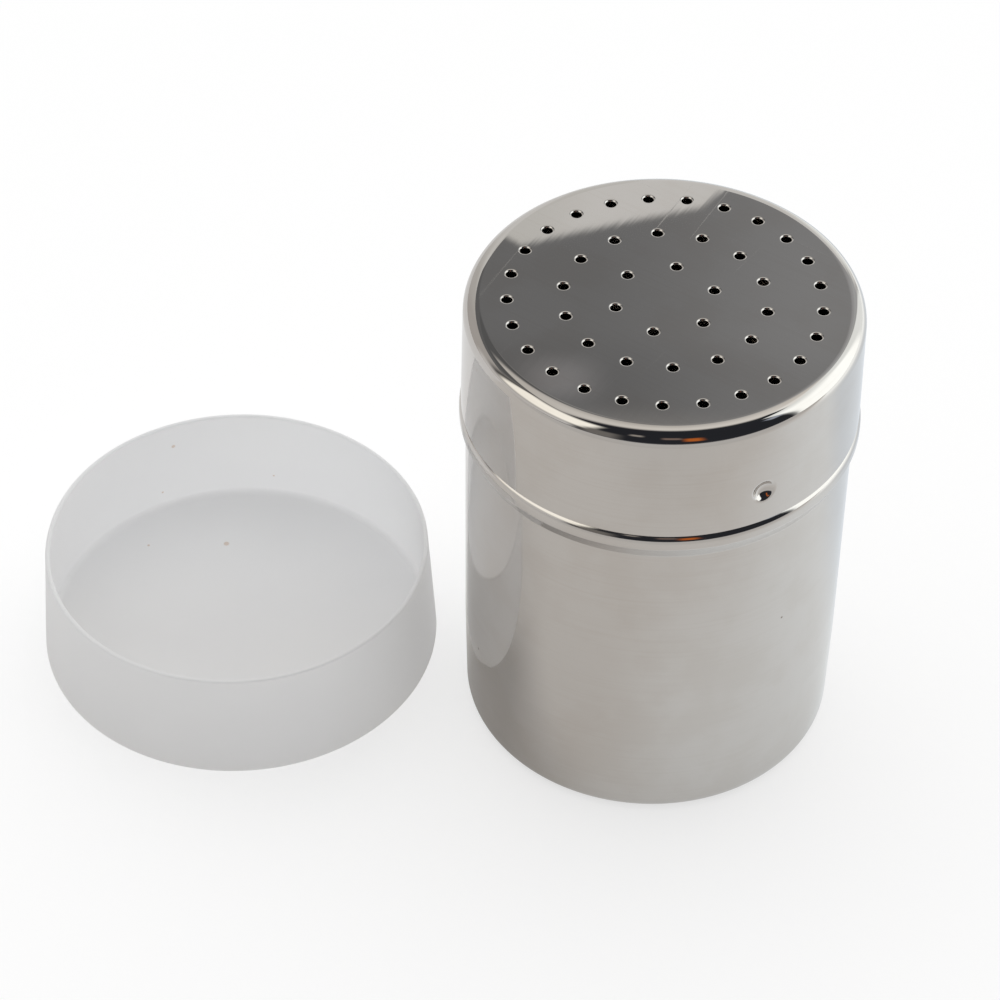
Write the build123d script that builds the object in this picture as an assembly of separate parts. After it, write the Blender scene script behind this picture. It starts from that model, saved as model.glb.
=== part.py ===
from build123d import *
import os
from math import cos, radians, sin, sqrt, tan

os.makedirs("parts", exist_ok=True)

# Twist-lock sifter shaker: a drawn steel cup, a drawn steel lid pierced with rings of holes, and a
# soft plastic dust cap that lies beside them, open side up. Millimetres; +Z up; the origin is the
# centre of the cup's base, on the surface it stands on.

# ---- shaker, overall
SHAKER_HEIGHT = 95.0        # surface to the lid's flat top
BODY_DIAMETER = 69.0        # outside of the cup's straight wall
CUP_SHEET = 0.6             # wall of the cup
LID_SHEET = 0.55            # wall of the lid

# ---- lid
SKIRT_DEPTH = 23.05         # lid's top to the raw lower edge of its skirt
SKIRT_OVERHANG = 0.85       # how far the skirt's lower edge stands outside the cup's wall
SKIRT_TAPER = 0.4           # how much less the skirt's radius is at its top
LID_EDGE_RADIUS = 3.0       # rounding between the lid's top and its skirt

# ---- sprinkle holes: three rings that share one bearing
HOLE_DIAMETER = 1.8
FIRST_HOLE_BEARING = 195.5  # degrees, where all the rings line up
OUTER_RING_RADIUS = 27.36
OUTER_RING_HOLES = 25
MIDDLE_RING_RADIUS = 17.84
MIDDLE_RING_HOLES = 14
INNER_RING_RADIUS = 8.92
INNER_RING_HOLES = 6

# ---- cup
BASE_TAPER = 0.4            # how much less the wall's radius is at the base
BASE_TAPER_HEIGHT = 20.0    # height over which the wall draws in
BASE_EDGE_RADIUS = 3.0      # rounding between the wall and the base
NECK_CLEARANCE = 0.35       # neck to the tight end of the skirt
RIM_CLEARANCE = 0.4         # neck's rim to where the lid's corner starts to curve

# ---- stop bead that carries the lid
BEAD_PROUD = 0.3            # bead's outside beyond the skirt's lower edge
BEAD_SHOULDER_SLOPE = 20.0  # degrees, how the shoulder rises from the bead to the neck
BEAD_SHOULDER_RADIUS = 1.9  # rounding that turns in under the skirt
BEAD_SIDE_HEIGHT = 2.56     # from where shoulder and side would meet down to the cone
BEAD_CONE_HEIGHT = 2.6      # sloping underside of the bead
BEAD_CREASE_RADIUS = 0.8    # roundings at the two ends of the cone
NECK_CREASE_RADIUS = 0.3    # inside corner between the shoulder and the neck
SEAT_CLEARANCE = 0.1        # skirt's inner edge over the bead's shoulder
SHOULDER_SHARE = 0.8        # most of the shoulder's slope that its rounding may take
CREASE_SHARE = 0.15         # most of the slope that the inside corner may take

# ---- bayonet: pips pressed into the skirt run in channels pressed into the neck
PIP_COUNT = 2
PIP_BEARING = -61.9         # degrees, first pip
PIP_RISE = 6.9              # pip's centre over the skirt's lower edge
PIP_PUNCH_RADIUS = 2.6      # outside hollow of the pip
PIP_DEPTH = 1.1
PIP_CLEARANCE = 0.4         # pip's back to the channel, all round
CHANNEL_DRAFT = 20.0        # degrees, slope of the channel's sides
LOCK_TURN = 22.0            # degrees that the lid turns, clockwise from above, to lock

# ---- dust cap
CAP_HEIGHT = 22.8
CAP_WALL = 0.95
CAP_GRIP_CLEARANCE = 0.05   # cap's mouth over the skirt's lower edge
CAP_FLARE = 1.5             # how much larger the closed end's radius is than the mouth's
CAP_BASE_RADIUS = 0.5       # outside edge of the closed end
CAP_INSIDE_RADIUS = 1.2     # inside corner of the closed end
CAP_RIM_RADIUS = 0.4        # roundings of the mouth's rim
CAP_RIM_SHARE = 0.45        # most of the wall that each of them may take
CAP_GAP = 5.5               # between the cap and the shaker's bead
CAP_BEARING = 171.2         # degrees, where the cap lies from the shaker

# ---- worked out from the above
body_r = BODY_DIAMETER / 2
skirt_r = body_r + SKIRT_OVERHANG
lid_top_r = skirt_r - SKIRT_TAPER
neck_r = lid_top_r - LID_SHEET - NECK_CLEARANCE
bead_r = skirt_r + BEAD_PROUD
skirt_edge_z = SHAKER_HEIGHT - SKIRT_DEPTH
shoulder_rise = tan(radians(BEAD_SHOULDER_SLOPE))
shoulder_length = (bead_r - neck_r) / cos(radians(BEAD_SHOULDER_SLOPE))
shoulder_bend = tan(radians(90 - BEAD_SHOULDER_SLOPE) / 2)   # a rounding's run along its sides
shoulder_round = min(BEAD_SHOULDER_RADIUS, SHOULDER_SHARE * shoulder_length / shoulder_bend)
neck_round = min(NECK_CREASE_RADIUS, CREASE_SHARE * shoulder_length / shoulder_bend)
shoulder_centre_r = bead_r - shoulder_round
seat_reach = skirt_r - LID_SHEET - shoulder_centre_r
seat_rise = sqrt(shoulder_round**2 - seat_reach**2)
brow_z = skirt_edge_z - SEAT_CLEARANCE - seat_rise + shoulder_round * shoulder_bend
neck_foot_z = brow_z + (bead_r - neck_r) * shoulder_rise
cone_z = brow_z - BEAD_SIDE_HEIGHT
bead_foot_z = cone_z - BEAD_CONE_HEIGHT
rim_z = SHAKER_HEIGHT - LID_EDGE_RADIUS - RIM_CLEARANCE
pip_z = skirt_edge_z + PIP_RISE
pip_skirt_r = skirt_r - SKIRT_TAPER * PIP_RISE / SKIRT_DEPTH
pip_centre_r = pip_skirt_r + PIP_PUNCH_RADIUS - PIP_DEPTH
pip_back_radius = PIP_PUNCH_RADIUS + LID_SHEET
channel_floor_r = pip_centre_r - pip_back_radius - PIP_CLEARANCE
cap_mouth_r = skirt_r + CAP_GRIP_CLEARANCE + CAP_WALL
cap_base_r = cap_mouth_r + CAP_FLARE
cap_distance = bead_r + CAP_GAP + cap_base_r
pip_bearings = [PIP_BEARING + 360 * turn / PIP_COUNT for turn in range(PIP_COUNT)]
SPILL = 2 * max(CUP_SHEET, LID_SHEET, CAP_WALL)   # how far cutting forms run past what they cut


def round_corners(face, corners):
    """Round the corners of a flat face that lie nearest to each (x, y, radius)."""
    for x, y, radius in corners:
        face = fillet(face.vertices().sort_by_distance((x, y, 0))[0], radius)
    return face


def filled_outline(half, corners):
    """Flat face within a half outline and its mirror image, with both sides' corners rounded."""
    mirrored = [(-x, z) for x, z in reversed(half)]
    face = make_face(Polyline(*half, *mirrored, close=True).edges())
    both = corners + [(-x, z, radius) for x, z, radius in corners]
    return round_corners(face, both)


def sheet_section(whole, wall, low, high):
    """Right half of a wall of one thickness just inside an outline, cut off at two heights."""
    reach = 2 * (cap_base_r + bead_r)
    inside = offset(whole, -wall, kind=Kind.INTERSECTION)
    window = Pos(reach / 2, (low + high) / 2) * Rectangle(reach, high - low)
    return (whole - inside) & window


def turned(section):
    """Solid of revolution about the upright axis from a section drawn in radius and height."""
    return revolve(Plane.XZ * section, Axis.Z)


def drawn_cup():
    """Cup blank: base, wall with a slight draw-in at the foot, stop bead and neck."""
    half = [
        (body_r - BASE_TAPER, 0),
        (body_r, BASE_TAPER_HEIGHT),
        (body_r, bead_foot_z),
        (bead_r, cone_z),
        (bead_r, brow_z),
        (neck_r, neck_foot_z),
        (neck_r, rim_z + SPILL),
    ]
    corners = [
        (body_r - BASE_TAPER, 0, BASE_EDGE_RADIUS),
        (body_r, bead_foot_z, BEAD_CREASE_RADIUS),
        (bead_r, cone_z, BEAD_CREASE_RADIUS),
        (bead_r, brow_z, shoulder_round),
        (neck_r, neck_foot_z, neck_round),
    ]
    section = sheet_section(filled_outline(half, corners), CUP_SHEET, 0, rim_z)
    return turned(section)


def channel_half_width(radius):
    """Half width of a bayonet channel at a radius: its sides slope, wider outwards."""
    clear = pip_back_radius + PIP_CLEARANCE
    at_neck = sqrt(clear**2 - (pip_centre_r - neck_r) ** 2)
    return at_neck + (radius - neck_r) * tan(radians(CHANNEL_DRAFT))


def channel_form(grow):
    """L-shaped channel on the +X side: in at the rim, down to the pip, then round to lock it."""
    floor = channel_floor_r - grow
    mouth = neck_r + SPILL
    side = grow / cos(radians(CHANNEL_DRAFT))
    narrow = channel_half_width(floor) + side
    wide = channel_half_width(mouth) + side
    profile = make_face(
        Polyline((floor, -narrow), (mouth, -wide), (mouth, wide), (floor, narrow), close=True).edges()
    )
    down = Pos(0, 0, pip_z) * extrude(profile, rim_z + SPILL - pip_z)
    around = revolve(Pos(0, 0, pip_z) * Plane.XZ * profile, Axis.Z, -LOCK_TURN)
    end = Pos((floor + mouth) / 2, 0, pip_z) * Rot(Y=90) * Cone(narrow, wide, mouth - floor)
    return down + around + end + Rot(Z=-LOCK_TURN) * end


def shaker_cup():
    """Cup with its bayonet channels: each is a hollow outside and a ridge of sheet inside."""
    cup = drawn_cup()
    neck_height = rim_z - neck_foot_z
    core_r = neck_r - CUP_SHEET / 2
    neck_core = Pos(0, 0, neck_foot_z + neck_height / 2) * Cylinder(core_r, neck_height)
    ridge = channel_form(CUP_SHEET) & neck_core
    hollow = channel_form(0)
    for bearing in pip_bearings:
        cup = cup + Rot(Z=bearing) * ridge - Rot(Z=bearing) * hollow
    return cup


def drawn_lid():
    """Lid blank: flat top, rounded edge and a skirt that widens slightly to its raw edge."""
    slope = SKIRT_TAPER / SKIRT_DEPTH
    half = [(skirt_r + slope * SPILL, skirt_edge_z - SPILL), (lid_top_r, SHAKER_HEIGHT)]
    corners = [(lid_top_r, SHAKER_HEIGHT, LID_EDGE_RADIUS)]
    section = sheet_section(filled_outline(half, corners), LID_SHEET, skirt_edge_z, SHAKER_HEIGHT)
    return turned(section)


def ring_bearings(count):
    """Bearings of one ring's holes, spread evenly from the shared one."""
    return [FIRST_HOLE_BEARING + 360 * step / count for step in range(count)]


def hole_places():
    """Where the lid is pierced: three rings, each evenly spaced."""
    rings = [
        (OUTER_RING_RADIUS, OUTER_RING_HOLES),
        (MIDDLE_RING_RADIUS, MIDDLE_RING_HOLES),
        (INNER_RING_RADIUS, INNER_RING_HOLES),
    ]
    return [
        Pos(radius * cos(radians(bearing)), radius * sin(radians(bearing)), 0)
        for radius, count in rings
        for bearing in ring_bearings(count)
    ]


def sifter_lid():
    """Lid with its sprinkle holes and the pips pressed in for the bayonet."""
    lid = drawn_lid()
    centre = Pos(pip_centre_r, 0, pip_z)
    skirt_core = Pos(0, 0, pip_z) * Cylinder(pip_skirt_r - LID_SHEET / 2, 4 * pip_back_radius)
    back = (centre * Sphere(pip_back_radius)) & skirt_core
    hollow = centre * Sphere(PIP_PUNCH_RADIUS)
    for bearing in pip_bearings:
        lid = lid + Rot(Z=bearing) * back - Rot(Z=bearing) * hollow
    punch = Pos(0, 0, SHAKER_HEIGHT) * Cylinder(HOLE_DIAMETER / 2, 2 * SPILL)
    return lid - [place * punch for place in hole_places()]


def dust_cap():
    """Soft cap, closed end down: it draws in towards the mouth, which grips the lid's skirt."""
    slope = CAP_FLARE / CAP_HEIGHT
    half = [(cap_base_r, 0), (cap_mouth_r - slope * SPILL, CAP_HEIGHT + SPILL)]
    whole = filled_outline(half, [(cap_base_r, 0, CAP_BASE_RADIUS)])
    section = sheet_section(whole, CAP_WALL, 0, CAP_HEIGHT)
    rim_round = min(CAP_RIM_RADIUS, CAP_RIM_SHARE * CAP_WALL)
    corners = [
        (cap_base_r - CAP_WALL, CAP_WALL, CAP_INSIDE_RADIUS),
        (cap_mouth_r - CAP_WALL, CAP_HEIGHT, rim_round),
        (cap_mouth_r, CAP_HEIGHT, rim_round),
    ]
    bearing = radians(CAP_BEARING)
    place = Pos(cap_distance * cos(bearing), cap_distance * sin(bearing), 0)
    return place * turned(round_corners(section, corners))


NODES = {
    "shaker_cup": shaker_cup,
    "sifter_lid": sifter_lid,
    "dust_cap": dust_cap,
}

for name, make in NODES.items():
    solids = make().solids()
    shape = solids[0] if len(solids) == 1 else Compound(children=solids)
    export_step(shape, f"parts/{name}.step")
    box = shape.bounding_box()
    print(f"{name}: {len(solids)} solid, {shape.volume:.1f} mm3, {box.size}")
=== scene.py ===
from math import atan2, ceil, cos, radians, sin, tan

import bpy
import numpy as np
from mathutils import Matrix, Vector
from mathutils.geometry import delaunay_2d_cdt


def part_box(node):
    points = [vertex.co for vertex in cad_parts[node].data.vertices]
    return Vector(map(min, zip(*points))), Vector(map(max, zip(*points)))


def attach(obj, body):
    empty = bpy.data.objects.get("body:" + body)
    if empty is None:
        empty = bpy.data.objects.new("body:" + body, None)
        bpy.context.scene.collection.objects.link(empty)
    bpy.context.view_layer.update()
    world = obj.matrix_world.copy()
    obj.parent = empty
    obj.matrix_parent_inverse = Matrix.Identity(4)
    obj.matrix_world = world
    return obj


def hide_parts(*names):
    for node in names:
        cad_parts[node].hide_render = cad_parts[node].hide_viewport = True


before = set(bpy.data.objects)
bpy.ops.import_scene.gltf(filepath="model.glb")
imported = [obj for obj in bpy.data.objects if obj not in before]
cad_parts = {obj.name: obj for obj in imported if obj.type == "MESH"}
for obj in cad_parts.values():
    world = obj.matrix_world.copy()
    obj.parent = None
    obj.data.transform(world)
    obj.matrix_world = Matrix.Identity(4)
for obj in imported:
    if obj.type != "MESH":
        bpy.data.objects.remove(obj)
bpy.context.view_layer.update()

# Twist-lock sifter shaker: a drawn steel cup, a drawn steel lid pierced with rings of holes, and a
# soft plastic dust cap that stands beside them, open side up. Sizes are in millimetres, and the
# meshes are scaled to metres as they are made. +Z is up, and bearings are counter-clockwise from +X.
MM = 0.001
cup_low, cup_high = (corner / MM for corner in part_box("shaker_cup"))
_, lid_high = (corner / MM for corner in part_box("sifter_lid"))
cap_low, cap_high = (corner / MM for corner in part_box("dust_cap"))

# ---- lid
LID_SHEET = 0.55
SKIRT_TAPER = 0.4           # how much less the skirt's radius is at its top
LID_EDGE_RADIUS = 3.0
LID_PLATE_RING = 0.02       # flat ring inside the rounded edge, where the pierced plate begins
RAW_EDGE_RADIUS = 0.15      # softened edges of the sheet
top_z = lid_high.z
skirt_z = 71.95
skirt_r = 35.35
lid_top_r = skirt_r - SKIRT_TAPER

# ---- sprinkle holes
HOLE_RADIUS = 0.9
HOLE_ROLL = 0.37            # punched-in rounding of a hole's upper edge
HOLE_LAND = 0.12            # flat ring kept round each hole
FIRST_HOLE_BEARING = 195.5
HOLE_RINGS = ((27.36, 25), (17.84, 14), (8.92, 6))   # radius, count

# ---- cup
CUP_SHEET = 0.6
BASE_TAPER = 0.4
BASE_TAPER_HEIGHT = 20.0
BASE_TAPER_BEND = 60.0      # radius of the soft bend above the taper
BASE_EDGE_RADIUS = 3.0
BEAD_STEP = 1.15            # bead's outside beyond the cup's wall
NECK_STEP = 1.6             # bead's outside beyond the neck
BEAD_SHOULDER_RADIUS = 1.9
BEAD_SHOULDER_SLOPE = radians(20)
BEAD_BROW = 0.35            # where the shoulder's slope would meet the bead's side, under the skirt
BEAD_SIDE_HEIGHT = 2.56     # from there down to the top of the cone
BEAD_CONE_HEIGHT = 2.6
BEAD_CREASE_RADIUS = 0.8
NECK_CREASE_RADIUS = 0.3
rim_z = cup_high.z
bead_r = (cup_high.x - cup_low.x) / 2
body_r = bead_r - BEAD_STEP
neck_r = bead_r - NECK_STEP
brow_z = skirt_z - BEAD_BROW
neck_foot_z = brow_z + NECK_STEP * tan(BEAD_SHOULDER_SLOPE)
cone_z = brow_z - BEAD_SIDE_HEIGHT
bead_foot_z = cone_z - BEAD_CONE_HEIGHT

# ---- bayonet
PIP_BEARINGS = (radians(-61.9), radians(118.1))
PIP_RISE = 6.9
PIP_PUNCH_RADIUS = 2.6
PIP_DEPTH = 1.1
PIP_EDGE_RADIUS = 1.0       # rounding between a pip and the skirt
CHANNEL_DEPTH = 0.9
CHANNEL_HALF_WIDTH = 2.3
CHANNEL_DRAFT = radians(20)
CHANNEL_SOFTNESS = 0.25
LOCK_TURN = radians(22)
pip_z = skirt_z + PIP_RISE

# ---- dust cap
CAP_WALL = 0.95
CAP_FLARE = 1.5             # how much larger the closed end's radius is than the mouth's
CAP_BASE_RADIUS = 0.5
CAP_INSIDE_RADIUS = 1.2
CAP_RIM_RADIUS = 0.4
# Bearing and spread in degrees, and how far the rim strays outwards there.
CAP_SAG = ((135, 22, 0.18), (60, 30, -0.22), (180, 20, -0.2))
cap_height = cap_high.z
cap_base_r = (cap_high.x - cap_low.x) / 2
cap_centre = (cap_low + cap_high) / 2

# ---- camera
CAMERA_PLACE = (-0.028197, -0.457923, 0.487092)
CAMERA_TILT = radians(46.094)
CAMERA_ROLL = radians(0.556)
CAMERA_LENS = 125.42
SENSOR = 36.0


# ---------------------------------------------------------------- outlines

ARC_STEP = radians(4.5)     # largest turn between two points of a rounding,
MIN_ARC_STEPS = 3           # and the fewest steps in one
SAME_POINT = 1e-6           # points closer than this are one
FINE_COLUMN = 0.25          # degrees between the columns of a finely meshed zone


def right_of(way):
    """Unit vector to the right of a direction."""
    return np.array([way[1], -way[0]])


def rounded_line(corners):
    """Points and normals along an open line with rounded corners.

    Each corner is (x, y, radius, longest step to the next). The line runs with its metal on the
    left, so the normals point right.
    """
    line = np.array([corner[:2] for corner in corners], float)
    ways = np.diff(line, axis=0)
    ways /= np.linalg.norm(ways, axis=1)[:, None]
    turns, cuts = [0.0], [0.0]
    for before, after, corner in zip(ways, ways[1:], corners[1:]):
        turn = atan2(before[0] * after[1] - before[1] * after[0], before @ after)
        turns.append(turn)
        cuts.append(corner[2] * tan(abs(turn) / 2))
    turns.append(0.0)
    cuts.append(0.0)
    points, normals = [], []
    for k, way in enumerate(ways):
        start, end = line[k] + way * cuts[k], line[k + 1] - way * cuts[k + 1]
        steps = max(1, ceil(np.linalg.norm(end - start) / corners[k][3]))
        for share in np.linspace(0, 1, steps + 1):
            point = start + share * (end - start)
            if not points or np.linalg.norm(point - points[-1]) > SAME_POINT:
                points.append(point)
                normals.append(right_of(way))
        if cuts[k + 1] > 0:
            turn, radius = turns[k + 1], corners[k + 1][2]
            side = 1 if turn > 0 else -1
            centre = end - side * radius * right_of(way)
            steps = max(MIN_ARC_STEPS, ceil(abs(turn) / ARC_STEP))
            for step in range(1, steps):
                angle = turn * step / steps
                heading = np.array([
                    way[0] * cos(angle) - way[1] * sin(angle),
                    way[0] * sin(angle) + way[1] * cos(angle),
                ])
                points.append(centre + side * radius * right_of(heading))
                normals.append(right_of(heading))
    return np.array(points), np.array(normals)


def inset(corners, wall):
    """The line one wall's thickness inside another, on its left, run the other way."""
    line = np.array([corner[:2] for corner in corners], float)
    ways = np.diff(line, axis=0)
    ways /= np.linalg.norm(ways, axis=1)[:, None]
    sides = [-right_of(way) for way in ways]
    befores, afters = [sides[0], *sides], [*sides, sides[-1]]
    steps = [corners[0][3], *(corner[3] for corner in corners[:-1])]
    found = []
    for point, corner, step, before, after in zip(line, corners, steps, befores, afters):
        x, y = point + wall * (before + after) / (1 + before @ after)
        bends_left = before[0] * after[1] > before[1] * after[0]
        radius = corner[2] and max(corner[2] + (-wall if bends_left else wall), RAW_EDGE_RADIUS / 2)
        found.append((x, y, radius, step))
    return found[::-1]


def bearings_round(count, zones=(), fine=FINE_COLUMN):
    """Bearings of a mesh's columns: evenly spaced, and closer within zones of (start, end)."""
    coarse, fine = 2 * np.pi / count, radians(fine)
    found, bearing = [], 0.0
    while bearing < 2 * np.pi - fine / 2:
        found.append(bearing)
        inside = any((bearing - start) % (2 * np.pi) < (end - start) for start, end in zones)
        bearing += fine if inside else coarse
    return np.array(found)


# ---------------------------------------------------------------- shells

INSIDE_ONLY = 1             # Blender's number for triangles inside the constraints only
PLATE_PRECISION = 1e-7
SLOPE_STEP = 1e-4           # radians or millimetres each way, over which a dent's slope is taken
NO_ZERO = 1e-12             # keeps a division away from zero


class Shell:
    """Points, normals and faces of one piece, in millimetres."""

    def __init__(self):
        self.points, self.normals, self.faces = [], [], []

    def add(self, points, normals):
        """Adds a block of points, and gives their numbers in the same shape."""
        first = len(self.points)
        self.points.extend(points.reshape(-1, 3))
        self.normals.extend(normals.reshape(-1, 3))
        return np.arange(first, len(self.points)).reshape(points.shape[:-1])

    def weave(self, rings):
        """Faces between rings of point numbers, one ring to a row."""
        ahead = np.roll(rings, -1, axis=1)
        quads = np.stack([rings[:-1], ahead[:-1], ahead[1:], rings[1:]], axis=-1)
        self.faces.extend(quads.reshape(-1, 4).tolist())

    def close(self, ring, height, up):
        """Closes a ring with a fan to its centre."""
        middle = np.array(self.points)[ring].mean(axis=0)
        middle[2] = height
        hub = int(self.add(middle[None], np.array([[0, 0, 1.0 if up else -1.0]]))[0])
        for here, ahead in zip(ring, np.roll(ring, -1)):
            self.faces.append([int(here), int(ahead), hub] if up else [hub, int(ahead), int(here)])

    def plate(self, outer, holes, up):
        """Flat plate between an outer ring and the rings of its holes."""
        rings = [outer, *holes]
        numbers = np.concatenate(rings)
        flat = [Vector(self.points[n][:2]) for n in numbers]
        edges, owner, first = [], [], 0
        for which, ring in enumerate(rings):
            count = len(ring)
            edges += [(first + k, first + (k + 1) % count) for k in range(count)]
            owner += [which] * count
            first += count
        _, _, triangles, origins, _, _ = delaunay_2d_cdt(
            flat, edges, [], INSIDE_ONLY, PLATE_PRECISION
        )
        for triangle in triangles:
            ids = [origins[corner][0] for corner in triangle]
            owners = {owner[i] for i in ids}
            if len(owners) == 1 and owners != {0}:
                continue
            a, b, c = (numbers[i] for i in ids)
            pa, pb, pc = (self.points[n] for n in (a, b, c))
            turn = (pb[0] - pa[0]) * (pc[1] - pa[1]) - (pb[1] - pa[1]) * (pc[0] - pa[0])
            order = [a, b, c] if (turn > 0) == up else [a, c, b]
            self.faces.append([int(n) for n in order])

    def make(self, name):
        """The piece as a smooth-shaded mesh in metres."""
        mesh = bpy.data.meshes.new(name)
        mesh.from_pydata([tuple(p) for p in np.array(self.points) * MM], [], self.faces)
        mesh.validate()
        mesh.shade_smooth()
        mesh.normals_split_custom_set_from_vertices([tuple(n) for n in self.normals])
        piece = bpy.data.objects.new(name, mesh)
        bpy.context.scene.collection.objects.link(piece)
        return piece


def no_dent(bearing, z, under):
    """A skin that is pressed nowhere."""
    return np.zeros_like(bearing * z)


def turned(line, columns, dent=no_dent, under=0.0, centre=(0, 0)):
    """Grid of points and normals that a line of (radius, height) sweeps round an axis.

    dent(bearing, height, under) says how far the skin is pressed towards the axis there, where
    under is how deep the skin lies below the sheet's outside.
    """
    points, normals = line
    r, z = points[:, :1], points[:, 1:]
    nr, nz = normals[:, :1], normals[:, 1:]
    bearing = columns[None, :]
    step = SLOPE_STEP
    pressed = r - dent(bearing, z, under)
    by_bearing = (dent(bearing - step, z, under) - dent(bearing + step, z, under)) / (2 * step)
    by_height = (dent(bearing, z - step, under) - dent(bearing, z + step, under)) / (2 * step)
    along_r, along_z = -nz + by_height * nr, nr
    radial = along_z * pressed
    around = -along_z * by_bearing
    upward = -along_r * pressed
    c, s = np.cos(bearing), np.sin(bearing)
    out = np.stack([radial * c - around * s, radial * s + around * c, upward + 0 * c], axis=-1)
    out /= np.linalg.norm(out, axis=-1, keepdims=True) + NO_ZERO
    grid = np.stack([centre[0] + pressed * c, centre[1] + pressed * s, z + 0 * pressed], axis=-1)
    return grid, out


# ---------------------------------------------------------------- lid and cup dents

def offset_round(bearing, start):
    """Signed bearing from a start, between half a turn either way."""
    return (bearing - start + np.pi) % (2 * np.pi) - np.pi


def pip_dent(bearing, z, under):
    """Dent of the two pips: a bowl with a rounded lip."""
    outside = PIP_PUNCH_RADIUS - PIP_DEPTH
    edge_r = np.sqrt(
        (PIP_PUNCH_RADIUS + PIP_EDGE_RADIUS) ** 2 - (outside + PIP_EDGE_RADIUS) ** 2
    )
    bowl, lip = PIP_PUNCH_RADIUS + under, PIP_EDGE_RADIUS - under
    meet = edge_r * bowl / (bowl + lip)
    total = np.zeros_like(bearing * z)
    for pip in PIP_BEARINGS:
        away = np.hypot(offset_round(bearing, pip) * skirt_r, z - pip_z)
        in_bowl = np.sqrt(np.maximum(bowl**2 - away**2, 0)) - outside
        in_lip = PIP_EDGE_RADIUS - np.sqrt(np.maximum(lip**2 - (edge_r - away) ** 2, 0))
        deep = np.where(away < meet, in_bowl, in_lip) - under
        total += np.where(away < edge_r, deep, 0)
    return total


def ease(x):
    """Smooth step from 0 to 1."""
    x = np.clip(x, 0, 1)
    return x * x * (3 - 2 * x)


def channel_dent(bearing, z, under):
    """Dent of the two L-shaped channels."""
    level = LOCK_TURN * neck_r
    ramp = CHANNEL_DEPTH * tan(CHANNEL_DRAFT) + 2 * CHANNEL_SOFTNESS
    wide = CHANNEL_HALF_WIDTH + under + CHANNEL_SOFTNESS
    total = np.zeros_like(bearing * z)
    for pip in PIP_BEARINGS:
        u = offset_round(bearing, pip) * neck_r
        up = np.hypot(u, np.minimum(z - pip_z, 0))
        around = np.hypot(u - np.clip(u, -level, 0), z - pip_z)
        total += CHANNEL_DEPTH * ease((wide - np.minimum(up, around)) / ramp)
    return total


# ---------------------------------------------------------------- pieces

COLUMNS = 240
HOLE_COLUMNS = 36
CHANNEL_COLUMN = 0.35       # degrees between the columns across the channels
WALL_STEP = 4.0             # longest step along a plain line,
FINE_STEP = 0.18            # and along one with a dent
PIP_REACH = 3.0             # half size of the finely meshed place at each pip
RIM_TIE = 0.01              # lets the inner one of the rim's two highest points win


def folded(corners, wall, dent, columns, centre=(0, 0)):
    """Grid of a sheet that a line sweeps round an axis: its inside, its raw edge and its outside."""
    inside, outside = inset(corners, wall), list(corners)
    for side, end in ((inside, -1), (outside, 0)):
        x, y, _, step = side[end]
        side[end] = (x, y, RAW_EDGE_RADIUS, step)
    line = rounded_line(inside + outside)
    edge = np.hypot(line[0][:, 0] - (inside[-1][0] + outside[0][0]) / 2, line[0][:, 1] - outside[0][1])
    middle = int(np.argmin(edge))
    under = np.where(np.arange(len(edge)) < middle, wall, 0.0)
    under[middle] = wall / 2
    return turned(line, columns, dent, under[:, None], centre)


def make_lid():
    """Lid: skirt with its pips, rounded edge, and a plate pierced with rolled-in holes."""
    reach = PIP_REACH / skirt_r
    columns = bearings_round(COLUMNS, [(pip - reach, pip + reach) for pip in PIP_BEARINGS])
    slope = SKIRT_TAPER / (top_z - skirt_z)
    low, high, under_top = pip_z - PIP_REACH, pip_z + PIP_REACH, top_z - LID_SHEET
    shell = Shell()
    rings = shell.add(*folded([
        (skirt_r, skirt_z, 0, WALL_STEP),
        (skirt_r - slope * (low - skirt_z), low, 0, FINE_STEP),
        (skirt_r - slope * (high - skirt_z), high, 0, WALL_STEP),
        (lid_top_r, top_z, LID_EDGE_RADIUS, WALL_STEP),
        (lid_top_r - LID_EDGE_RADIUS - LID_PLATE_RING, top_z, 0, WALL_STEP),
    ], LID_SHEET, pip_dent, columns))
    shell.weave(rings)

    hole_line = rounded_line([
        (HOLE_RADIUS + HOLE_ROLL + HOLE_LAND, top_z, 0, WALL_STEP),
        (HOLE_RADIUS, top_z, HOLE_ROLL, WALL_STEP),
        (HOLE_RADIUS, under_top, RAW_EDGE_RADIUS / 2, WALL_STEP),
        (HOLE_RADIUS + HOLE_LAND, under_top, 0, WALL_STEP),
    ])
    tops, unders = [], []
    for ring_r, count in HOLE_RINGS:
        for step in range(count):
            bearing = radians(FIRST_HOLE_BEARING + 360 * step / count)
            place = (ring_r * cos(bearing), ring_r * sin(bearing))
            hole = shell.add(*turned(hole_line, bearings_round(HOLE_COLUMNS), centre=place))
            shell.weave(hole)
            tops.append(hole[0])
            unders.append(hole[-1])
    shell.plate(rings[-1], tops, True)
    shell.plate(rings[0], unders, False)
    return shell.make("lid_shell")


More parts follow.
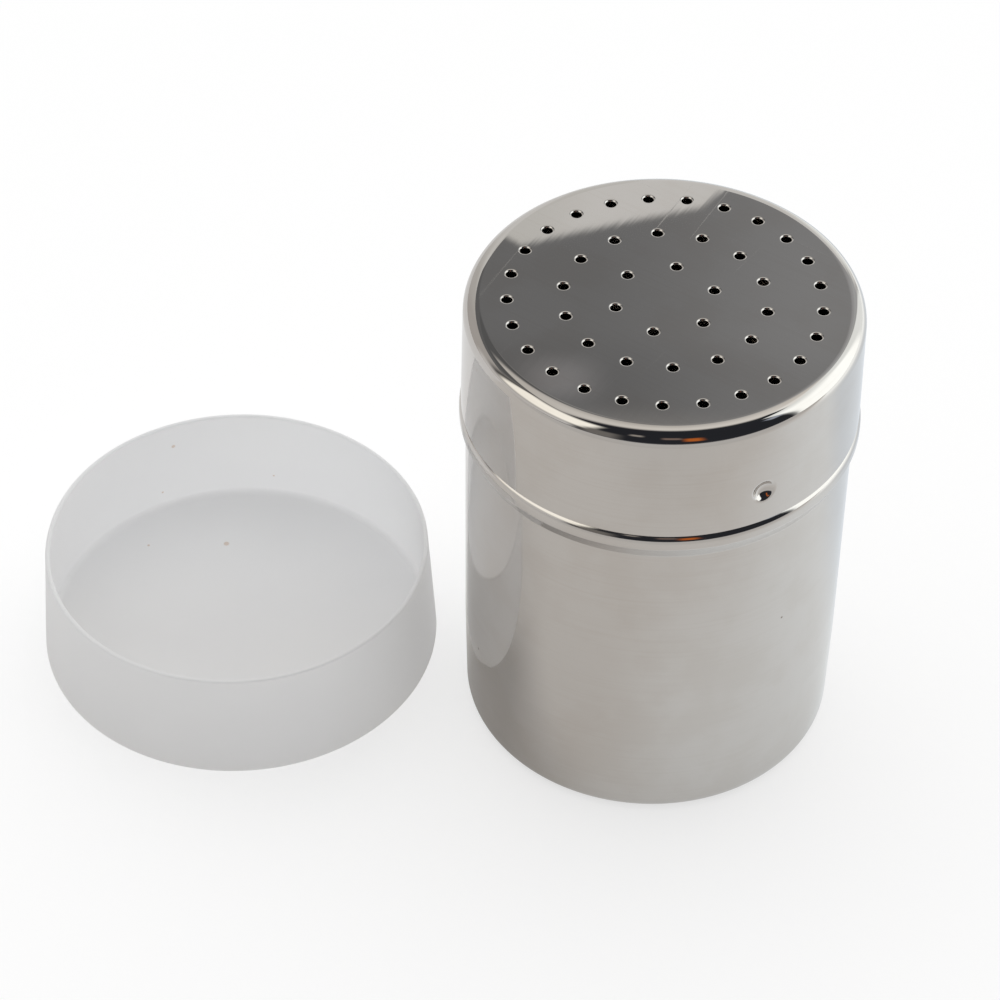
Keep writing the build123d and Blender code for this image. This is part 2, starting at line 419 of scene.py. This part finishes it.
def make_cup():
    """Cup: base, wall, stop bead, and the neck with its bayonet channels."""
    side = (CHANNEL_HALF_WIDTH + 2 * CUP_SHEET) / neck_r
    zones = [(pip - LOCK_TURN - side, pip + side) for pip in PIP_BEARINGS]
    columns = bearings_round(COLUMNS, zones, CHANNEL_COLUMN)
    foot_r = body_r - BASE_TAPER
    outside = [
        (foot_r / 2, 0, 0, WALL_STEP),
        (foot_r, 0, BASE_EDGE_RADIUS, WALL_STEP),
        (body_r, BASE_TAPER_HEIGHT, BASE_TAPER_BEND, WALL_STEP),
        (body_r, bead_foot_z, BEAD_CREASE_RADIUS, WALL_STEP),
        (bead_r, cone_z, BEAD_CREASE_RADIUS, WALL_STEP),
        (bead_r, brow_z, BEAD_SHOULDER_RADIUS, WALL_STEP),
        (neck_r, neck_foot_z, NECK_CREASE_RADIUS, FINE_STEP),
        (neck_r, rim_z, RAW_EDGE_RADIUS, WALL_STEP),
    ]
    inside = inset(outside, CUP_SHEET)
    x, y, _, step = inside[0]
    inside[0] = (x, y, RAW_EDGE_RADIUS, step)
    line = rounded_line(outside + inside)
    inner_half = line[0][:, 0] < neck_r - CUP_SHEET / 2
    top = int(np.argmax(line[0][:, 1] + inner_half * RIM_TIE))
    under = np.where(np.arange(len(line[0])) < top, 0.0, CUP_SHEET)[:, None]
    shell = Shell()
    rings = shell.add(*turned(line, columns, channel_dent, under))
    shell.weave(rings)
    shell.close(rings[0], 0, False)
    shell.close(rings[-1], CUP_SHEET, True)
    return shell.make("cup_shell")


def cap_dent(bearing, z, under):
    """The soft cap's rim strays a little from round, its base hardly at all."""
    stray = 0 * bearing
    for toward, spread, amount in CAP_SAG:
        away = offset_round(bearing, radians(toward)) / radians(spread)
        stray = stray - amount * np.exp(-away**2)
    return stray * ease(z / cap_height)


def make_cap():
    """Dust cap: one moulding with a rounded rim."""
    mouth_r = cap_base_r - CAP_FLARE
    line = rounded_line([
        (cap_base_r / 2, 0, 0, WALL_STEP),
        (cap_base_r, 0, CAP_BASE_RADIUS, WALL_STEP / 2),
        (mouth_r, cap_height, CAP_RIM_RADIUS, WALL_STEP),
        (mouth_r - CAP_WALL, cap_height, CAP_RIM_RADIUS, WALL_STEP / 2),
        (cap_base_r - CAP_WALL, CAP_WALL, CAP_INSIDE_RADIUS, WALL_STEP),
        (cap_base_r / 2, CAP_WALL, 0, WALL_STEP),
    ])
    shell = Shell()
    rings = shell.add(*turned(line, bearings_round(COLUMNS), cap_dent, centre=cap_centre[:2]))
    shell.weave(rings)
    shell.close(rings[0], 0, False)
    shell.close(rings[-1], CAP_WALL, True)
    return shell.make("cap_shell")


# ---------------------------------------------------------------- materials

class Graph:
    """Short way to add and wire the nodes of one material or world."""

    def __init__(self, owner):
        owner.use_nodes = True
        self.tree = owner.node_tree
        self.tree.nodes.clear()

    def add(self, kind, inputs=None, **settings):
        """Adds a node, with values or links for its inputs."""
        node = self.tree.nodes.new("ShaderNode" + kind)
        for name, value in settings.items():
            setattr(node, name, value)
        for name, value in (inputs or {}).items():
            if isinstance(value, bpy.types.NodeSocket):
                self.tree.links.new(value, node.inputs[name])
            else:
                node.inputs[name].default_value = value
        return node

    def math(self, operation, *values, clamp=False):
        """Result of a Math node."""
        return self.add("Math", dict(enumerate(values)), operation=operation, use_clamp=clamp).outputs[0]

    def spread(self, value, low, high, to_low=0.0, to_high=1.0):
        """Smoothly maps low..high to another range."""
        inputs = {"Value": value, "From Min": low, "From Max": high, "To Min": to_low, "To Max": to_high}
        return self.add("MapRange", inputs, interpolation_type="SMOOTHSTEP").outputs[0]

    def band(self, value, low, high, blur):
        """1 between two values, with soft edges."""
        rise = self.spread(value, low - blur, low + blur)
        fall = self.spread(value, high + blur, high - blur)
        return self.math("MULTIPLY", rise, fall)

    def mix(self, share, first, second):
        """Mixes two colours."""
        node = self.add("Mix", data_type="RGBA")
        for socket, value in (("Factor_Float", share), ("A_Color", first), ("B_Color", second)):
            target = next(s for s in node.inputs if s.identifier == socket)
            if isinstance(value, bpy.types.NodeSocket):
                self.tree.links.new(value, target)
            else:
                target.default_value = value
        return next(s for s in node.outputs if s.identifier == "Result_Color")

    def streaks(self, scale, bearing=0.0, detail=3.0, place=(0, 0, 0)):
        """Noise from 0 to 1, with a scale along each axis once X is turned to a bearing."""
        coords = self.add("TexCoord").outputs["Object"]
        along = self.add("VectorRotate", {"Vector": coords, "Angle": -radians(bearing)},
                         rotation_type="Z_AXIS")
        scaled = self.add("Mapping", {"Vector": along.outputs[0], "Scale": scale, "Location": place})
        return self.add("TexNoise", {"Vector": scaled.outputs[0], "Scale": 1.0, "Detail": detail}).outputs[0]

    def scratches(self):
        """Where a few rubbing marks lie, each set along one bearing, from 0 to 1."""
        total = 0.0
        for bearing, scale in SCRATCHES:
            lines = self.streaks(scale, bearing, detail=1.0)
            places = self.streaks(SCRATCH_PLACE_SCALE, detail=1.0, place=(bearing, 0, 0))
            marks = self.math("MULTIPLY", self.spread(lines, *SCRATCH_LINES),
                              self.spread(places, *SCRATCH_PLACES))
            total = self.math("ADD", total, marks, clamp=True)
        return total

    def specks(self, places):
        """Where tiny specks of dirt lie, from 0 to 1, from their (x, y, z, radius) in millimetres."""
        at = self.add("TexCoord").outputs["Object"]
        total = 0.0
        for x, y, z, radius in places:
            spot = tuple(value * MM for value in (x, y, z))
            away = self.add("VectorMath", {0: at, 1: spot}, operation="DISTANCE").outputs["Value"]
            speck = self.spread(away, radius * MM, radius * MM / 2)
            total = self.math("ADD", total, speck, clamp=True)
        return total

    def finish(self, surface):
        """Sends a shader to the output."""
        kind = "OutputWorld" if isinstance(self.tree.id_data, bpy.types.World) else "OutputMaterial"
        self.add(kind, {"Surface": surface})


BLACK = (0, 0, 0, 1)
WHITE = (1, 1, 1, 1)
STEEL = (0.61, 0.585, 0.56, 1)
STEEL_DULLED = (0.585, 0.555, 0.525, 1)
SPECK = (0.22, 0.17, 0.14, 1)
STEEL_SPECKS = ((22.0, -26.6, 43.7, 0.28), (-31.9, -13.1, 20.8, 0.35))   # x, y, z, radius
# Depth of the straight lines and of the level ones in metres, and the roughness.
CUP_FINISH = (0.0, 4e-7, (0.05, 0.10))
LID_FINISH = (4e-7, 2e-7, (0.012, 0.02))
FLAT_FACING = (0.98, 0.999)     # upward part of the normal at which a flat begins and is full
LINE_SCALE = (40, 1000, 40)     # straight polishing lines on flats
FLAT_LINE_BEARING = 60.0
ROUND_LINE_SCALE = (40, 40, 2200)   # level ones on walls
CLOUD_SCALE = (28, 28, 28)      # faint waves in the sheet
CLOUD_DEPTH = 3e-6
CLOUDS = (0.3, 0.7)             # noise levels between which the roughness rises
HAIR_SCALE = (40, 40, 2600)     # level hairlines on the walls
FLAT_HAIR_SCALE = (30, 1500, 30)
FLAT_HAIR_BEARING = -35.0
HAIRS = (0.45, 0.80, 0.0, 0.5)  # noise levels, and how much a hairline dulls at each
BLOT_SCALE = (75, 75, 75)       # brownish blots
BLOT_PLACE = (7, 0, 0)
BLOTS = (0.42, 0.66, 0.0, 0.9)
SCRATCHES = ((62, (25, 1300, 25)), (54, (30, 1700, 30)), (-35, (20, 1500, 20)))   # bearing, noise scale
SCRATCH_LINES = (0.68, 0.76)    # noise levels between which a mark shows,
SCRATCH_PLACES = (0.54, 0.64)   # and those of the noise that says where
SCRATCH_PLACE_SCALE = (45, 45, 45)
SCRATCH_ROUGHNESS = 0.05


def steel(name, flat_lines, round_lines, roughness):
    """Polished stainless sheet with fine polishing lines: straight on flats, level on walls."""
    material = bpy.data.materials.new(name)
    graph = Graph(material)
    facing = graph.add("SeparateXYZ", {0: graph.add("NewGeometry").outputs["Normal"]}).outputs[2]
    flat = graph.spread(facing, *FLAT_FACING)
    straight = graph.math("MULTIPLY", graph.streaks(LINE_SCALE, FLAT_LINE_BEARING, detail=1.0), flat_lines)
    level = graph.math("MULTIPLY", graph.streaks(ROUND_LINE_SCALE), round_lines)
    lines = graph.add("Mix", {0: flat, 2: level, 3: straight}).outputs[0]
    clouds = graph.streaks(CLOUD_SCALE, detail=2.0)
    marks = graph.scratches()
    bump = graph.add("Bump", {"Height": lines, "Strength": 1.0, "Distance": 1.0})
    wide = graph.add("Bump", {"Height": clouds, "Strength": 1.0, "Distance": CLOUD_DEPTH,
                              "Normal": bump.outputs[0]})
    level_hairs = graph.spread(graph.streaks(HAIR_SCALE, detail=2.0), *HAIRS)
    flat_hairs = graph.spread(graph.streaks(FLAT_HAIR_SCALE, FLAT_HAIR_BEARING, detail=2.0), *HAIRS)
    hairs = graph.add("Mix", {0: flat, 2: level_hairs, 3: flat_hairs}).outputs[0]
    blots = graph.streaks(BLOT_SCALE, detail=4.0, place=BLOT_PLACE)
    dulled = graph.math("ADD", hairs, graph.spread(blots, *BLOTS), clamp=True)
    sheet = graph.mix(dulled, STEEL, STEEL_DULLED)
    polished = graph.spread(clouds, *CLOUDS, *roughness)
    shader = graph.add("BsdfPrincipled", {
        "Base Color": graph.mix(graph.specks(STEEL_SPECKS), sheet, SPECK),
        "Metallic": 1.0,
        "Roughness": graph.math("MULTIPLY_ADD", marks, SCRATCH_ROUGHNESS, polished),
        "Normal": wide.outputs[0],
    })
    graph.finish(shader.outputs[0])
    return material


CAP_COLOUR = (0.875, 0.877, 0.88, 1)
CAP_CLOUDED = (0.86, 0.862, 0.868, 1)
CAP_SPECK = (0.72, 0.63, 0.56, 1)
CAP_SPECKS = (              # x, y, z, radius
    (-82.4, 33.9, 0.9, 0.70),
    (-97.8, 33.2, 0.9, 0.35),
    (-73.6, 48.3, 6.0, 0.28),
    (-95.6, 44.2, 5.0, 0.30),
    (-92.8, 44.7, 17.1, 0.50),
)
CAP_CLOUD_SCALE = (30, 30, 30)
CAP_CLOUDS = (0.35, 0.7)    # noise levels between which the plastic is clouded
CAP_ROUGHNESS = 0.38
CAP_THROUGH = 0.44          # share of the light that the plastic lets through


def milky_plastic():
    """Translucent soft plastic: light is scattered once, where it enters the wall."""
    material = bpy.data.materials.new("milky_plastic")
    graph = Graph(material)
    clouds = graph.streaks(CAP_CLOUD_SCALE)
    colour = graph.mix(graph.spread(clouds, *CAP_CLOUDS), CAP_COLOUR, CAP_CLOUDED)
    colour = graph.mix(graph.specks(CAP_SPECKS), colour, CAP_SPECK)
    skin = graph.add("BsdfPrincipled", {"Base Color": colour, "Roughness": CAP_ROUGHNESS})
    through = graph.add("BsdfTranslucent", {"Color": colour})
    body = graph.add("MixShader", {0: CAP_THROUGH, 1: skin.outputs[0], 2: through.outputs[0]})
    leaving = graph.add("NewGeometry").outputs["Backfacing"]
    clear = graph.add("BsdfTransparent")
    surface = graph.add("MixShader", {0: leaving, 1: body.outputs[0], 2: clear.outputs[0]})
    graph.finish(surface.outputs[0])
    return material


# ---------------------------------------------------------------- stage

FLOOR_HALF = 3.0
FLOOR_GLOW = 0.62           # what the floor adds of its own to the camera's view
FLOOR_SEEN = (0.4, 0.4, 0.4, 1)
# Colours of the table that the steel mirrors, with the light and shade on it painted in by place: paler
# where the lights fall, darker in front, dark beyond its end.
TABLE = (0.745, 0.727, 0.705, 1)        # near the shaker
TABLE_FRONT = (0.66, 0.65, 0.635, 1)    # farther in front, in painted shade
TABLE_BACK = (0.85, 0.85, 0.85, 1)      # behind it on the left
TABLE_LIT = (0.94, 0.97, 0.985, 1)      # on the right
TABLE_LIT_BACK = (0.83, 0.88, 0.93, 1)  # behind it on the right
TABLE_BRIGHT = (1.38, 1.43, 1.43, 1)    # far on the right, behind: a painted pool of light, brighter than white
TABLE_BEYOND = (0.17, 0.17, 0.18, 1)    # in front of the table's end: the dark of the unlit room, painted on the floor
# Where each of these begins and is full, in metres from the shaker's axis.
TABLE_FRONT_Y = (-0.10, -0.18)
TABLE_BACK_Y = (0.0, 0.04)
TABLE_LIT_Y = (-0.125, -0.01)
TABLE_LIT_X = (-0.03, 0.02)
TABLE_BRIGHT_X = (0.10, 0.50)
TABLE_END = (-1.05, -0.75)
# Painted shadow between cap and shaker, seen by mirrors only: left, right, near and far.
TABLE_PAINTED_SHADOW = (-0.060, -0.012, -0.030, 0.010)
TABLE_PAINTED_SHADOW_SHARE = 0.36
TABLE_PAINTED_SHADOW_BLUR = 0.012
TABLE_GLOW = 0.5               # share of its painted light that the table gives off itself, so that no shadow takes it away


def make_floor():
    """Pale floor: white to the camera with a soft shadow, and to the steel a table with painted light and
    shade.
    """
    half = FLOOR_HALF
    mesh = bpy.data.meshes.new("floor")
    corners = [(-half, -half, 0), (half, -half, 0), (half, half, 0), (-half, half, 0)]
    mesh.from_pydata(corners, [], [(0, 1, 2, 3)])
    floor = bpy.data.objects.new("floor", mesh)
    bpy.context.scene.collection.objects.link(floor)
    material = bpy.data.materials.new("floor")
    graph = Graph(material)
    rays = graph.add("LightPath")
    x, y, _ = graph.add("SeparateXYZ", {0: graph.add("TexCoord").outputs["Object"]}).outputs
    pale = graph.add("BsdfDiffuse", {"Color": FLOOR_SEEN})
    glow = graph.add("Emission", {"Color": WHITE, "Strength": FLOOR_GLOW})
    seen = graph.add("AddShader", {0: pale.outputs[0], 1: glow.outputs[0]})
    on_table = graph.spread(y, *TABLE_END)
    # The table's painted light and shade: darker in front, paler behind and on the lit right, dark beyond
    # its end.
    front = graph.mix(graph.spread(y, *TABLE_FRONT_Y), TABLE, TABLE_FRONT)
    left = graph.mix(graph.spread(y, *TABLE_BACK_Y), front, TABLE_BACK)
    right = graph.mix(graph.spread(y, *TABLE_BACK_Y), TABLE_LIT, TABLE_LIT_BACK)
    right = graph.mix(graph.spread(x, *TABLE_BRIGHT_X), right, TABLE_BRIGHT)
    lit = graph.math("MULTIPLY", graph.spread(y, *TABLE_LIT_Y), graph.spread(x, *TABLE_LIT_X))
    # Painted shadow between cap and shaker, laid on the table's colour for mirror rays only.
    west, east, near, far = TABLE_PAINTED_SHADOW
    painted_shadow = graph.math("MULTIPLY", graph.band(x, west, east, TABLE_PAINTED_SHADOW_BLUR),
                     graph.band(y, near, far, TABLE_PAINTED_SHADOW_BLUR))
    mirror_shadow_share = graph.math("MULTIPLY", rays.outputs["Is Glossy Ray"], TABLE_PAINTED_SHADOW_SHARE)
    painted_shadow = graph.math("MULTIPLY", painted_shadow, mirror_shadow_share)
    colour = graph.mix(painted_shadow, graph.mix(lit, left, right), BLACK)
    colour = graph.mix(on_table, TABLE_BEYOND, colour)
    # The mirrored table gives off part of its painted light itself, and the rest is lit and shaded.
    shaded = graph.add("BsdfDiffuse", {"Color": colour})
    shining = graph.add("Emission", {"Color": colour, "Strength": 1.0})
    for_mirror = graph.add("MixShader", {0: TABLE_GLOW, 1: shaded.outputs[0], 2: shining.outputs[0]})
    surface = graph.add("MixShader", {0: rays.outputs["Is Camera Ray"], 1: for_mirror.outputs[0],
                                      2: seen.outputs[0]})
    clear = graph.add("BsdfTransparent")
    below = graph.add("NewGeometry").outputs["Backfacing"]
    both = graph.add("MixShader", {0: below, 1: surface.outputs[0], 2: clear.outputs[0]})
    graph.finish(both.outputs[0])
    floor.data.materials.append(material)


# Panels of the studio's walls, and of the lights in front of them. Later ones lie over earlier ones, and
# the walls end above at the back wall's upper edge. Bearings are in degrees to the right of the camera's
# side, and elevations in degrees: (middle, half width, low, high, side blur, edge blur, colour).
WALL_PANELS = (
    (180, 36, -90, 55, 5, 2, (0.82, 0.82, 0.81)),       # pale back wall
    (-177.5, 3.7, -90, 55, 0.8, 2, (0.74, 0.74, 0.72)),     # a little darker left of its middle
    (-147, 14, -90, 55, 9, 2, (0.61, 0.60, 0.58)),      # darker to the left
    (-124, 20, -90, 55, 8, 6, (0.53, 0.51, 0.49)),
    (157, 8, -10, 18, 5, 6, (1.05, 1.08, 1.06)),        # and lit from the right
)
LIGHT_PANELS = (
    (-80, 33, -90, 14, 5, 8, (0.74, 0.73, 0.72)),       # pale wall on the left
    (-67.5, 28.5, 15, 51.5, 4.5, 6, (1.45, 1.42, 1.31)),    # soft light on the left
    (-33, 9, -5, 28, 5, 6, (0.21, 0.20, 0.19)),         # and its glow on the wall beside it
    (116, 20, 50, 67, 6, 4, (1.18, 1.18, 1.15)),        # glow over the wide light
    (107.5, 36.5, -90, 54.5, 2, 1.2, (1.15, 1.20, 1.20)),   # wide soft light on the right
    (98, 27, -8, 46, 5, 9, (1.66, 1.72, 1.71)),         # and its bright middle
    (150, 4, 14, 58, 3, 5, (0.52, 0.54, 0.55)),         # seam between it and the back wall
    (15, 4.5, 13, 32, 3, 4, (0.62, 0.16, 0.03)),        # warm cards and lamps by the camera
    (4, 5, 26, 37, 2, 3, (0.26, 0.19, 0.16)),
    (-15.5, 3.5, 33, 43, 2, 3, (0.40, 0.37, 0.34)),
    (66, 4, 35, 45, 2, 3, (0.45, 0.50, 0.60)),
    (178.7, 0.7, 41.6, 42.2, 0.6, 0.25, (0.29, 0.29, 0.30)),    # pale patch on the shaded wall
    (177.5, 6, 42.5, 52, 3, 0.3, (0.31, 0.31, 0.31)),   # and its paler top
)
DARK = (0.026, 0.028, 0.034)
SHADE = (0.98, 1.0, 1.03)   # tint of the shaded wall over the back wall's upper edge
SHADE_LEVEL = 0.165         # its level on the left, low down
SHADE_RISES = ((-10, 1, 0.05), (1.5, 7.5, 0.10), (7, 22, 0.14))   # bearings, and how much brighter
SHADE_CLIMB = (40.9, 41.9, -0.030)      # elevations, and how much brighter
SHADE_BETWEEN = (-75, 40)   # bearings from behind between which it lies, and their blur
SHADE_BLUR = 5
# Back wall's upper edge, in degrees. It is highest at one bearing from behind and falls to both sides.
BACK_EDGE_PEAK = (0.4, 39.72)       # bearing, elevation
BACK_EDGE_FALLS = (0.40, 0.19)      # slopes to the left and to the right
BACK_EDGE_REACH = 13.0              # how far to the left it falls
BACK_EDGE_STEP = (4.1, 4.6, 0.2)    # bearings between which it drops, and how far
BACK_EDGE_STEEP = (4.6, 0.55)       # bearing from which it is steeper, and by how much
BACK_EDGE_BLUR = 0.08
CEILING = (1.03, 1.0, 0.95)         # tint and level of the light overhead
CEILING_LEVEL = 0.62
CEILING_RISE = (52, 88, 0.27)       # elevations between which it gets brighter, and how much
CEILING_SIDES = (0.10, 0.25)        # how much brighter it gets to the left and right
CEILING_EDGES = (-0.68, 0.52, -0.095, 0.68)   # left, right, camera side, back: slopes from overhead
CEILING_BLURS = (0.05, 0.12)        # of its sides, and of its near and far edges
CEILING_SKEW = 0.18                 # slope of its edge on the camera's side
LEAST_RISE = 0.01                   # keeps directions under the horizon off the ceiling's plane
# Light that falls on whatever isn't a mirror.
PLAIN = (1.0, 1.0, 1.0)
PLAIN_SHARE = (0.20, 1.35)          # its level from the camera's side and from behind,
PLAIN_OVERHEAD = (0.3, 1.0, 0.30)   # heights between which more is added overhead, and how much,
PLAIN_SIDES = (0.94, 1.06)          # and its share from the left and from the right


def make_studio():
    """Studio round the object, by direction: white to the camera, plain to all but mirrors."""
    world = bpy.data.worlds.new("studio")
    bpy.context.scene.world = world
    graph = Graph(world)
    toward = graph.add("TexCoord").outputs["Generated"]
    x, y, z = graph.add("SeparateXYZ", {0: toward}).outputs
    elevation = graph.math("DEGREES", graph.math("ARCSINE", z))
    behind = graph.math("DEGREES", graph.math("ARCTAN2", x, y))

    def panel(light, middle, half, low, high, side_blur, edge_blur, rgb):
        """Lays one panel over the light so far."""
        aimed = graph.add("VectorRotate", {"Vector": toward, "Angle": radians(-middle)},
                          rotation_type="Z_AXIS")
        px, py, _ = graph.add("SeparateXYZ", {0: aimed.outputs[0]}).outputs
        bearing = graph.math("DEGREES", graph.math("ARCTAN2", px, graph.math("MULTIPLY", py, -1.0)))
        across = graph.band(bearing, -half, half, side_blur)
        upright = graph.band(elevation, low, high, edge_blur)
        return graph.mix(graph.math("MULTIPLY", across, upright), light, (*rgb, 1))

    def beyond(value, start):
        """How far a value lies above a start, or 0."""
        return graph.math("MAXIMUM", graph.math("SUBTRACT", value, start), 0.0)

    def total(first, *more):
        """Sum of several values."""
        for value in more:
            first = graph.math("ADD", first, value)
        return first

    light = (*DARK, 1)
    for row in WALL_PANELS:
        light = panel(light, *row)
    turn, top = BACK_EDGE_PEAK
    left_fall, right_fall = BACK_EDGE_FALLS
    left = graph.math("MINIMUM", beyond(graph.math("MULTIPLY", behind, -1.0), -turn), BACK_EDGE_REACH)
    left = graph.math("MULTIPLY", left, left_fall)
    right = graph.math("MULTIPLY", beyond(behind, turn), right_fall)
    start, end, depth = BACK_EDGE_STEP
    drop = graph.spread(behind, start, end, 0.0, depth)
    start, slope = BACK_EDGE_STEEP
    steep = graph.math("MULTIPLY", beyond(behind, start), slope)
    above = total(elevation, left, right, drop, steep)
    over = graph.spread(above, top - BACK_EDGE_BLUR, top + BACK_EDGE_BLUR)
    rises = [graph.spread(behind, start, end, 0.0, rise) for start, end, rise in SHADE_RISES]
    start, end, rise = SHADE_CLIMB
    rises.append(graph.spread(elevation, start, end, 0.0, rise))
    shade = graph.add("VectorMath", {0: SHADE, "Scale": total(SHADE_LEVEL, *rises)}, operation="SCALE")
    shaded = graph.math("MULTIPLY", over, graph.band(behind, *SHADE_BETWEEN, SHADE_BLUR))
    light = graph.mix(shaded, light, shade.outputs[0])
    for row in LIGHT_PANELS:
        light = panel(light, *row)
    upward = graph.math("MAXIMUM", z, LEAST_RISE)
    across, along = graph.math("DIVIDE", x, upward), graph.math("DIVIDE", y, upward)
    left, right, near, far = CEILING_EDGES
    side_blur, end_blur = CEILING_BLURS
    skewed = graph.math("MULTIPLY_ADD", across, -CEILING_SKEW, along)
    between = graph.band(across, left, right, side_blur)
    from_near = graph.spread(skewed, near - end_blur, near + end_blur)
    to_far = graph.spread(along, far + end_blur, far - end_blur)
    ceiling = graph.math("MULTIPLY", between, graph.math("MULTIPLY", from_near, to_far))
    start, end, rise = CEILING_RISE
    level = total(graph.spread(elevation, start, end, CEILING_LEVEL, CEILING_LEVEL + rise),
                  graph.spread(across, 0.0, left, 0.0, CEILING_SIDES[0]),
                  graph.spread(across, 0.0, right, 0.0, CEILING_SIDES[1]))
    overhead = graph.add("VectorMath", {0: CEILING, "Scale": level}, operation="SCALE")
    light = graph.mix(ceiling, light, overhead.outputs[0])
    rays = graph.add("LightPath")
    start, end, rise = PLAIN_OVERHEAD
    plain = graph.math("ADD", graph.spread(y, -1, 1, *PLAIN_SHARE), graph.spread(z, start, end, 0.0, rise))
    plain = graph.math("MULTIPLY", plain, graph.spread(x, -1, 1, *PLAIN_SIDES))
    share = graph.add("VectorMath", {0: PLAIN, "Scale": plain}, operation="SCALE")
    lighting = graph.mix(rays.outputs["Is Glossy Ray"], share.outputs[0], light)
    seen = graph.mix(rays.outputs["Is Camera Ray"], lighting, WHITE)
    background = graph.add("Background", {"Color": seen, "Strength": 1.0})
    graph.finish(background.outputs[0])


def make_camera():
    """Camera where the shaker is seen from."""
    data = bpy.data.cameras.new("camera")
    data.lens, data.sensor_width = CAMERA_LENS, SENSOR
    camera = bpy.data.objects.new("camera", data)
    bpy.context.scene.collection.objects.link(camera)
    camera.matrix_world = (
        Matrix.Translation(CAMERA_PLACE)
        @ Matrix.Rotation(CAMERA_TILT, 4, "X")
        @ Matrix.Rotation(CAMERA_ROLL, 4, "Z")
    )
    bpy.context.scene.camera = camera


cup_steel = steel("cup_steel", *CUP_FINISH)
lid_steel = steel("lid_steel", *LID_FINISH)
for piece, body, node, slot, material in (
    (make_cup(), "cup", "shaker_cup", "cup_steel", cup_steel),
    (make_lid(), "lid", "sifter_lid", "lid_steel", lid_steel),
    (make_cap(), "cap", "dust_cap", "cap_plastic", milky_plastic()),
):
    piece.data.materials.append(material)
    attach(piece, body)
    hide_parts(node)

make_floor()
make_studio()
make_camera()
bpy.context.scene.view_settings.view_transform = "Standard"
